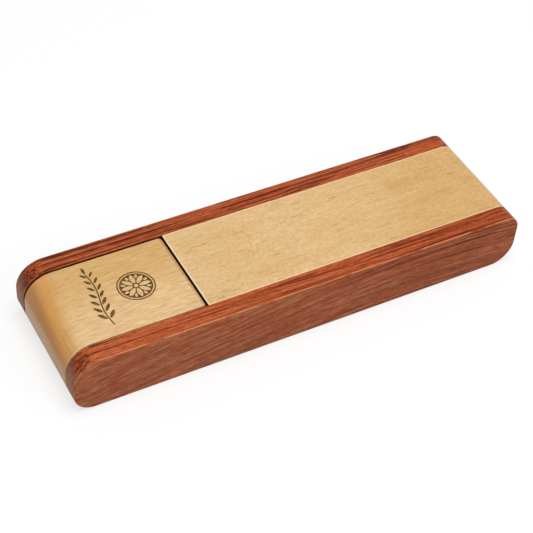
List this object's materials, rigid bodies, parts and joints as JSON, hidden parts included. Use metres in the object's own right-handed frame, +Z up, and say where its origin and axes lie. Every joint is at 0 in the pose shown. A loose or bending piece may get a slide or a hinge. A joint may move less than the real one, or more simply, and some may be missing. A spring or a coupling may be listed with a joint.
{
  "type": "wooden pen case",
  "caption": "Flat wooden case for one pen: hardwood side rails on a pale core, rounded ends, and a square lid at one end that flips up on hidden pins.",
  "frame": {"origin": "middle of the underside, on the surface that the case lies on", "axes": "+X along the case away from the lid, +Y across to the rear rail, +Z up out of the top face"},
  "size_m": [0.1714, 0.0508, 0.0215],
  "materials": {
    "rosewood": "red-brown hardwood with dark grain, oiled to a soft sheen",
    "maple": "creamy maple with fine brown flecks, satin lacquer",
    "maple_lid": "amber maple with close straight grain, satin lacquer",
    "brass": "turned",
    "nylon": "black, plain moulded",
    "nickel": "bright nickel plate",
    "felt": "black wool felt"
  },
  "bodies": {
    "case": {"front_rail": "rosewood", "rear_rail": "rosewood", "floor_panel": "maple", "top_panel": "maple", "end_block": "maple", "front_core_strip": "maple", "rear_core_strip": "maple", "front_hinge_pin": "brass", "rear_hinge_pin": "brass", "front_hinge_washer": "nylon", "rear_hinge_washer": "nylon", "front_case_magnet": "nickel", "rear_case_magnet": "nickel", "floor_felt": "felt", "front_side_felt": "felt", "rear_side_felt": "felt", "ceiling_felt": "felt", "tail_pad": "felt"},
    "lid": {"lid": "maple_lid", "front_lid_magnet": "nickel", "rear_lid_magnet": "nickel", "lid_felt": "felt", "lid_pad": "felt"}
  },
  "joints": [
    {"name": "lid_hinge", "type": "hinge", "parent": "case", "child": "lid", "pos_m": [-0.0372, 0, 0.0193], "axis": [0, 1, 0], "range_deg": [0, 95]}
  ]
}
